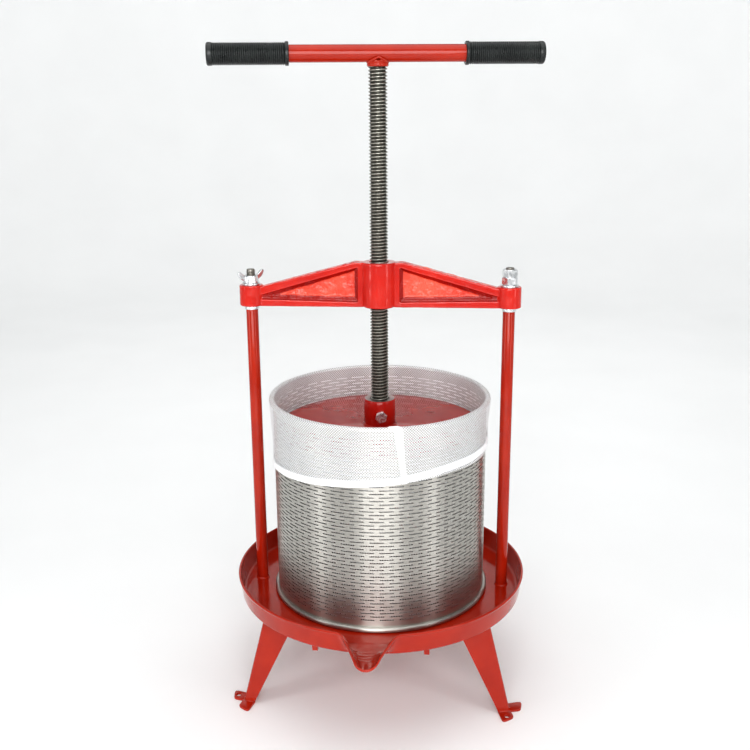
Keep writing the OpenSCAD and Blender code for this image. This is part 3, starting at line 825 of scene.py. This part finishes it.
piece("cast_beam", beam_mesh(), "frame", [beam_paint, painted_highlight_recess_panels, painted_shade_recess_walls],
      ["cross_beam"], 80)

# ---- basket
wall_low, wall_high = mm("basket_wall")
WALL_R = wall_high.x
WALL_T = 1.0
SLOTS = 36
SLOT_LONG, SLOT_HIGH, ROW_PITCH, FIRST_ROW = 19.5, 1.45, 4.7, 10.6


def basket_wall():
    """Thin sheet with staggered rows of slots cut right through it."""
    pitch = math.tau * WALL_R / SLOTS
    half = SLOT_LONG / 2
    marks = sorted([pitch / 2 - half, half, pitch - half, pitch / 2 + half])
    columns = [k * pitch + m for k in range(SLOTS) for m in marks]
    levels, kinds = [wall_low.z, wall_low.z + FIRST_ROW - SLOT_HIGH / 2], [None]
    row = 0
    while levels[-1] + SLOT_HIGH + ROW_PITCH < wall_high.z - 2:
        levels.append(levels[-1] + SLOT_HIGH)
        kinds.append(row % 2)
        levels.append(levels[-1] + ROW_PITCH - SLOT_HIGH)
        kinds.append(None)
        row += 1
    levels.append(wall_high.z)
    kinds.append(None)
    n, m = len(columns), len(levels)
    open_cells = {0: (3, 0, 1), 1: (1, 2, 3)}
    points, uvs = [], []
    for skin in (0, 1):
        r0 = WALL_R - skin * WALL_T
        for i in range(n + 1):
            a = (columns[i % n] + (math.tau * WALL_R if i == n else 0)) / WALL_R
            for j, z in enumerate(levels):
                points.append((r0 * math.cos(a), r0 * math.sin(a), z))
                uvs.append((a * WALL_R * MM, z * MM))
    block = (n + 1) * m

    def at(skin, i, j):
        return skin * block + i * m + j

    def is_open(i, j):
        return kinds[j] is not None and i % 4 in open_cells[kinds[j]]

    faces = []
    for i in range(n):
        for j in range(m - 1):
            if not is_open(i, j):
                faces.append((at(0, i, j), at(0, i + 1, j), at(0, i + 1, j + 1), at(0, i, j + 1)))
                faces.append((at(1, i, j), at(1, i, j + 1), at(1, i + 1, j + 1), at(1, i + 1, j)))
                continue
            for jj, flip in ((j, 0), (j + 1, 1)):
                edge = (at(0, i, jj), at(0, i + 1, jj), at(1, i + 1, jj), at(1, i, jj))
                faces.append(edge[::-1] if flip else edge)
            if not is_open((i - 1) % n, j):
                faces.append((at(0, i, j), at(1, i, j), at(1, i, j + 1), at(0, i, j + 1)))
            if not is_open((i + 1) % n, j):
                faces.append((at(0, i + 1, j), at(0, i + 1, j + 1), at(1, i + 1, j + 1), at(1, i + 1, j)))
    for j in (0, m - 1):
        faces += [(at(0, i, j), at(0, i + 1, j), at(1, i + 1, j), at(1, i, j)) for i in range(n)]
    return Shape().add((points, faces, uvs), spin(-95))


piece("slotted_wall", basket_wall(), "basket", [stainless], ["basket_wall"], 30)
for name in ("basket_top_bead", "basket_bottom_bead"):
    low, high = mm(name)
    wire = (high.z - low.z) / 2
    mid, level = high.x - wire, (low.z + high.z) / 2
    up = 1 if "top" in name else -1
    # the sheet curls out over the wire and ends in a lip against the wall
    curl = []
    for a in range(-180, 180, 15):
        r = wire - (0.35 if a < -120 else 0)
        curl.append((mid + r * math.cos(math.radians(a)), level + up * r * math.sin(math.radians(a))))
    piece(name + "_roll", Shape().add(lathe(curl, 180)), "basket", [stainless], [name], 50)

# ---- press bag
bag_low = mm("bag_net")[0]
bead_low, bead_high = mm("basket_top_bead")
BEAD_WIRE = (bead_high.z - bead_low.z) / 2
BEAD_R = bead_high.x - BEAD_WIRE
BEAD_Z = (bead_high.z + bead_low.z) / 2
LINER_R = WALL_R - WALL_T - 3.2
CUFF_LONG_Z = mm("bag_hem")[0].z
CUFF_SHORT_Z = CUFF_LONG_Z + 22
CUFF_R = 150  # radius at which the cloth's UVs are measured
RIM_R = BEAD_WIRE + 0.45  # the net's bend over the bead
BAG_COLUMNS = 216


def cuff_low(a):
    """Height of the cuff's lower edge; a is the angle from -Y towards +X."""
    side = math.sin(a)
    return CUFF_LONG_Z + (CUFF_SHORT_Z - CUFF_LONG_Z) * min(1.0, (side + 1) / 1.6) ** 0.8


def slack(a, drop):
    """How far the cuff stands off the basket, in mm; drop runs from 0 at the rim to 1 at the hem."""
    wave = 0.5 * math.sin(5 * a + 0.7) + 0.35 * math.sin(11 * a + 2.0) + 0.25 * math.sin(17 * a + 4.1)
    return 0.9 * wave * drop + 0.35 * math.sin(9 * a + 6 * drop) * math.sin(math.pi * drop)


def bag_point(a, s):
    """A point of the net; s runs 0..1 up the liner, 1..2 over the rim, 2..3 down the cuff."""
    if s <= 1:
        top = BEAD_Z - 3
        z = bag_low.z + 0.3 + (top - bag_low.z - 0.3) * s
        ease = max(0.0, 1 - (BEAD_Z - z) / 22) ** 2
        wave = 0.35 * math.sin(13 * a + 5 * s) * math.sin(math.pi * s)
        r = LINER_R + ease * (BEAD_R - RIM_R - LINER_R) + wave
    elif s <= 2:
        turn = math.pi * (2 - s)
        r, z = BEAD_R + RIM_R * math.cos(turn), BEAD_Z + RIM_R * math.sin(turn) * 1.05
        if s < 1.08:
            z = max(z, BEAD_Z - 3 + 3 * (s - 1) / 0.08)
    else:
        d = s - 2
        z = BEAD_Z - (BEAD_Z - cuff_low(a)) * d
        hang = BEAD_R + RIM_R - (BEAD_R + RIM_R - WALL_R - 1.9) * (1 - (1 - d) ** 2.2)
        r = max(hang + slack(a, d), WALL_R + 0.7 + 4.6 * max(0.0, 1 - d * 9))
    return Vector((r * math.sin(a), -r * math.cos(a), z))


def bag_line(a):
    """One line of the net, from the liner's foot to the cuff's edge."""
    steps = [k / 30 for k in range(30)] + [1 + k / 10 for k in range(10)] + [2 + k / 20 for k in range(21)]
    points = [bag_point(a, s) for s in steps]
    along, line = 0.0, []
    for p, last in zip(points, points[:1] + points):
        along += (p - last).length
        line.append((p, (a * CUFF_R * MM, along * MM)))
    return line


def hem_rise(a):
    """The hem climbs off the edge on the right, where a strip of net hangs below it."""
    side = math.sin(a - math.radians(14))
    return 5.5 * max(0.0, side) ** 0.7


def hem_line(a):
    """One loop of the flat band that follows the cuff near its lower edge."""
    low = cuff_low(a) + hem_rise(a)
    top = cuff_low(a) + (hem_rise(a) + 9.5)
    loop = []
    for z, off in ((low, -0.35), (low + 0.3, 0.55), ((low + top) / 2, 0.7), (top - 0.3, 0.55), (top, -0.35)):
        p = bag_point(a, 2 + clamp((BEAD_Z - z) / (BEAD_Z - cuff_low(a))))
        out = Vector((p.x, p.y, 0)).normalized()
        loop.append(Vector((p.x, p.y, z)) + out * off)
    return [(p, (a * CUFF_R * MM, (p.z - low) * MM)) for p in loop + loop[:1]]


net = piece("press_bag_net", Shape().add(sweep(BAG_COLUMNS, bag_line)), "basket", [nylon_net],
            ["bag_net"], 60)
hem = piece("press_bag_hem", Shape().add(sweep(BAG_COLUMNS, hem_line)), "basket", [nylon_tape],
            ["bag_hem"], 60)


def seam_tape():
    """Flat seam down the front of the cuff, wide at the rim and narrow at the hem."""
    rows, across, start = 26, 6, 1.35
    points, uvs = [], []
    for lift_full in (0.0, 0.95):
        for k in range(rows + 1):
            t = k / rows
            s = start + (3 - start) * t
            middle = math.radians(11 + 5.4 * t)
            half = (8.2 - 4.4 * min(1.0, t * 1.25)) / CUFF_R
            for j in range(across + 1):
                off = 2 * j / across - 1
                a = middle + half * off
                p = bag_point(a, s)
                slope = (p - bag_point(a, s - 0.02)).normalized()
                out = slope.cross(Vector((math.cos(a), math.sin(a), 0)))
                out = out if out.dot(Vector((math.sin(a), -math.cos(a), 0.4))) > 0 else -out
                points.append(p + out * (0.15 + lift_full * (1 - abs(off) ** 4)))
                uvs.append((a * CUFF_R * MM, t * 0.09))
    wide = across + 1
    n = (rows + 1) * wide
    top = quads(rows + 1, wide)
    faces = top + [tuple(n + i for i in f)[::-1] for f in top]
    ring = list(range(wide)) + [(k + 1) * wide - 1 for k in range(1, rows + 1)]
    ring += [rows * wide + j for j in range(across - 1, -1, -1)] + [k * wide for k in range(rows - 1, 0, -1)]
    faces += [(i, j, n + j, n + i) for i, j in zip(ring, ring[1:] + ring[:1])]
    return Shape().add((points, faces, uvs))


seam = piece("press_bag_seam", seam_tape(), "basket", [nylon_tape], ["bag_seam"], 60)


def floor_line(a):
    """A radius of the bag's bottom disc, which lies on the pan with a few shallow puckers."""
    floor_low, floor_high = mm("bag_floor")
    rings, reach, line = 24, floor_high.x - 0.3, []
    for k in range(rings + 1):
        r = reach * k / rings
        x, y = r * math.sin(a), r * math.cos(a)
        pucker = 0.35 * (1 + noise.noise(Vector((y, x, 0)) * 0.05)) * (r / reach) ** 2
        line.append(((x, -y, floor_low.z + 0.5 + pucker), (x * MM, y * MM)))
    return line


bottom = piece("press_bag_floor", Shape().add(sweep(96, floor_line)), "basket", [nylon_net],
               ["bag_floor"], 60)

# ---- press plate
disc_low, disc_high = mm("press_disc")
hub_high = mm("plate_hub")[1]
HUB_R, HUB_BORE = hub_high.x, 13.0
base, top, edge, fillet = disc_high.z, hub_high.z, 1.6, 2.2
disc = lathe(
    [(0, disc_low.z)] + arc(disc_high.x - edge, disc_low.z + edge, edge, -90, 0, 5)
    + arc(disc_high.x - edge, base - edge, edge, 0, 90, 5) + [(HUB_R + 1 + fillet, base)]
    + arc(HUB_R + 1 + fillet, base + fillet, fillet, 270, 180, 5)[1:] + [(HUB_R, base + 3), (0, base + 3)],
    180, closed=False)
piece("press_disc_turned", Shape().add(disc), "press_plate", [plate_paint], ["press_disc"], 40)

hub = Shape()
for mat, profile in (
        (0, [(HUB_R - 0.4, base - 0.5), (HUB_R, base), (HUB_R, top - 1.2), (HUB_R - 0.4, top - 0.4),
             (HUB_R - 1.2, top)]),
        (1, [(HUB_R - 1.2, top), (HUB_BORE + 0.8, top)]),
        (1, [(HUB_BORE + 0.8, top), (HUB_BORE, top - 0.8), (HUB_BORE, base + 3.0), (0, base + 3.0),
             (0, base - 0.5), (HUB_R - 0.4, base - 0.5)])):
    hub.add(lathe(profile, 96, closed=False), mat=mat)
piece("plate_hub_turned", hub, "press_plate", [hub_paint, machined], ["plate_hub"], 40)

BOLT_Z = base + 17
bolts = Shape()
for turn in (9, 189):
    place = shift(0, 0, BOLT_Z) @ spin(turn) @ spin(90, "X")
    bolts.add(hex_nut(14.3, 0, HUB_R + 0.2, HUB_R + 5.55, math.radians(15)), place)
    bolts.add(rod(4.0, 9.6, HUB_R + 1, 0.5, 0.2, 32), place)
piece("hub_bolts_hex", bolts, "press_plate", [zinc], ["hub_bolts"], 28)

low, high = mm("thrust_washer")
pad = Shape().add(rod(high.x, low.z, high.z, 0.5, 0.5, 64))
piece("thrust_pad", pad, "press_plate", [machined], ["thrust_washer"], 40)

# ---- screw
low, high = mm("screw")
SCREW_R, PITCH = high.x, 4.2
CORE = SCREW_R - 2.3
neck, neck_r = (BOLT_Z - 4.6, BOLT_Z + 4.6), 8.6  # the groove that holds the hub bolts' tips
screw = Shape().add(lathe(
    [(0, low.z), (7.5, low.z), (8.5, low.z + 1), (SCREW_R - 0.6, low.z + 1.6), (SCREW_R - 0.1, low.z + 2.2),
     (SCREW_R - 0.1, neck[0] - 0.3), (neck_r, neck[0] + 0.2), (neck_r, neck[1] - 0.2),
     (SCREW_R - 0.1, neck[1] + 0.3), (SCREW_R - 0.3, neck[1] + 3), (CORE, neck[1] + 5),
     (CORE, high.z - 2), (0, high.z - 2)], 64, closed=False))
screw.add(ridge(CORE, SCREW_R, PITCH, neck[1] + 4.6, high.z - 3, 0.9, 1.15, 36))
piece("screw_threaded", screw, "screw_handle", [screw_steel], ["screw"], 30)

# ---- handle
grip_low, grip_high = mm("grip_right")
bar_low, bar_high = mm("handle_bar")
BAR_R = (bar_high.z - bar_low.z) / 2
HANDLE_Z = (bar_high.z + bar_low.z) / 2
TURN = math.atan2((grip_low.y + grip_high.y) / 2, (grip_low.x + grip_high.x) / 2)
GRIP_R = (grip_high.z - grip_low.z) / 2 - 0.8
HALF, GRIP_LONG = 209.5, 100.0
along_x = shift(0, 0, HANDLE_Z) @ Matrix.Rotation(TURN, 4, "Z") @ spin(90, "Y")


def grip_profile():
    """(radius, distance from the middle) of a ribbed rubber grip."""
    start, end, pitch = HALF - GRIP_LONG, HALF, 2.55
    line = [(BAR_R + 0.05, start + 0.8), (BAR_R + 0.6, start)]
    line += arc(GRIP_R - 0.6, start + 1.4, 1.4, -90, 0, 4) + arc(GRIP_R - 0.2, start + 3.6, 1.0, 0, 80, 3)
    z = start + 5.6
    while z + pitch < end - 6.5:
        for share, depth in ((0.0, 1.0), (0.16, 0.75), (0.34, 0.1), (0.5, 0.0), (0.66, 0.1), (0.84, 0.75)):
            line.append((GRIP_R - 0.05 - depth, z + pitch * share))
        z += pitch
    line += [(GRIP_R - 1.05, z), (GRIP_R - 0.1, z + 0.5), (GRIP_R + 0.2, z + 1.4)]
    line += arc(GRIP_R - 2.4, end - 2.6, 2.6, 0, 90, 6) + [(GRIP_R * 0.5, end), (0, end)]
    return line


for name, flip in (("grip_right", 0), ("grip_left", 180)):
    shape = Shape().add(lathe(grip_profile(), 72, closed=False), along_x @ spin(flip, "X"))
    piece(name + "_ribbed", shape, "screw_handle", [grip_rubber], [name], 45)

bar_end = HALF - 3
bar = Shape().add(lathe(
    [(BAR_R - 2, -bar_end), (BAR_R - 0.3, -bar_end), (BAR_R, 0.5 - bar_end)]
    + [(BAR_R, z) for z in (GRIP_LONG - HALF, -40, 0, 40, HALF - GRIP_LONG, bar_end - 0.5)]
    + [(BAR_R - 0.3, bar_end), (BAR_R - 2, bar_end)], 72), along_x)
piece("handle_tube", bar, "screw_handle", [frame_paint], ["handle_bar"], 40)


def weld_mesh():
    """Weld bead that climbs from the screw on to both sides of the tube, in overlapping ripples."""
    lumps = Shape()
    ball = bmesh.new()
    bmesh.ops.create_icosphere(ball, subdivisions=2, radius=1.0)
    lump = [v.co.copy() for v in ball.verts], [tuple(v.index for v in f.verts) for f in ball.faces]
    ball.free()
    steps, under = 44, HANDLE_Z - BAR_R
    for k in range(steps):
        a = math.tau * k / steps
        c, s = math.cos(a), math.sin(a)
        climb = 1 - abs(c)
        r = 12.4 - 1.2 * climb
        wobble = 0.6 * noise.noise(Vector((k * 1.3, 3.0, 1.0)))
        size = (2.2 + wobble, 1.7 + wobble, 1.6 + wobble, 1)
        lumps.add(lump, shift(r * c, r * s, under + 0.2 + 6.0 * climb) @ Matrix.Rotation(a, 4, "Z")
                  @ Matrix.Diagonal(size))
        r = 12.2 + wobble * 0.5
        lumps.add(lump, shift(r * c, r * s, under - 2.6) @ Matrix.Diagonal((1.5, 1.5, 2.8, 1)))
    lumps.add(rod(11.9, under - 4.6, under + 2.5, 0.5, 1.0, 48))
    mesh = cast(lumps, 0.5, 2)
    bump_out(mesh, lambda p: 0.18 * noise.noise(p * 0.8))
    mesh.transform(Matrix.Rotation(TURN, 4, "Z"))
    return mesh


piece("handle_weld_bead", weld_mesh(), "screw_handle", [frame_paint], ["handle_weld"], 80)

# ---- carried-over CAD nodes under the pan
for name in ("cross_member", "stiffener_front_left", "stiffener_front_right", "stiffener_rear_left",
             "stiffener_rear_right"):
    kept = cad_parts[name]
    kept.data.materials.clear()
    kept.data.materials.append(frame_paint)
    soften = kept.modifiers.new("soften", "BEVEL")
    soften.width, soften.segments = 0.0006, 2
    soften.limit_method, soften.angle_limit = "ANGLE", math.radians(40)

# ---- studio
def backdrop():
    """A pale floor that sweeps up into a wall all round."""
    profile = [(r, 0) for r in (0, 300, 900, 1800, 2600)] + arc(2600, 1400, 1400, 270, 360, 12) + [(4000, 3000)]
    mesh = to_mesh("backdrop", Shape().add(lathe(profile, 96, closed=False)))
    mat, tree, shader = new_material("backdrop_paper")
    where = node(tree, "TexCoord").outputs["Object"]
    connect(tree, shader, {
        "Base Color": ramp(tree, noise_at(tree, where, 3, 2), 0.3, 0.7,
                           (0.90, 0.908, 0.908), (0.925, 0.933, 0.933)),
        "Roughness": 0.75})
    mesh.materials.append(mat)
    shade(mesh, 60)
    if any(polygon.normal.z < -0.5 for polygon in mesh.polygons):
        mesh.flip_normals()
    obj = bpy.data.objects.new("backdrop", mesh)
    scene.collection.objects.link(obj)


backdrop()


def softbox(name, at, towards, width, height, power):
    """A rectangular area light; places and sizes in metres, power in watts."""
    light = bpy.data.lights.new(name, "AREA")
    light.shape, light.size, light.size_y, light.energy = "RECTANGLE", width, height, power
    obj = bpy.data.objects.new(name, light)
    obj.location = at
    obj.rotation_euler = (Vector(towards) - Vector(at)).to_track_quat("-Z", "Y").to_euler()
    scene.collection.objects.link(obj)


softbox("top_box", (0.0, -0.15, 2.4), (0, 0.0, 0.3), 2.6, 2.4, 27)
softbox("left_box", (-1.75, -1.05, 0.9), (0, 0, 0.4), 0.45, 1.5, 6)
softbox("right_box", (1.7, -1.05, 0.9), (0, 0, 0.4), 0.45, 1.5, 5)
softbox("front_box", (0.15, -2.3, 1.15), (0, 0, 0.4), 1.7, 1.6, 36)
softbox("wall_box", (0.0, 1.2, 2.4), (0, 3.6, 0.9), 3.4, 0.7, 29)


def studio_world():
    """White where the camera looks past the backdrop, and a dim room in the reflections."""
    world = bpy.data.worlds.new("studio")
    world.use_nodes = True
    tree = world.node_tree
    room = tree.nodes["Background"]
    connect(tree, room, {"Color": (1, 1, 1, 1), "Strength": 0.2})
    behind = node(tree, "Background", {"Color": (1, 1, 1, 1), "Strength": 0.93})
    seen = node(tree, "LightPath").outputs["Is Camera Ray"]
    mixed = node(tree, "MixShader", {0: seen, 1: room.outputs[0], 2: behind.outputs[0]})
    tree.links.new(mixed.outputs[0], tree.nodes["World Output"].inputs["Surface"])
    scene.world = world


studio_world()
scene.view_settings.view_transform = "Standard"
scene.view_settings.look = "Medium High Contrast"

# ---- camera
AZIMUTH, PITCH_DOWN, YAW, ROLL = 4.489, 15.845, -0.2725, -0.4257  # degrees
a, p, roll = math.radians(-AZIMUTH + YAW), math.radians(PITCH_DOWN), math.radians(ROLL)
forward = Vector((math.sin(a) * math.cos(p), math.cos(a) * math.cos(p), -math.sin(p)))
level = Vector((math.cos(a), -math.sin(a), 0))
upright = level.cross(forward)
right = level * math.cos(roll) + upright * math.sin(roll)
up = -level * math.sin(roll) + upright * math.cos(roll)
camera = bpy.data.cameras.new("camera")
camera.lens, camera.sensor_width, camera.clip_start, camera.clip_end = 48.53, 36.0, 0.05, 60.0
view = bpy.data.objects.new("camera", camera)
view.matrix_world = shift(0.1024, -1.3040, 0.8117) @ Matrix((right, up, -forward)).transposed().to_4x4()
scene.collection.objects.link(view)
scene.camera = view
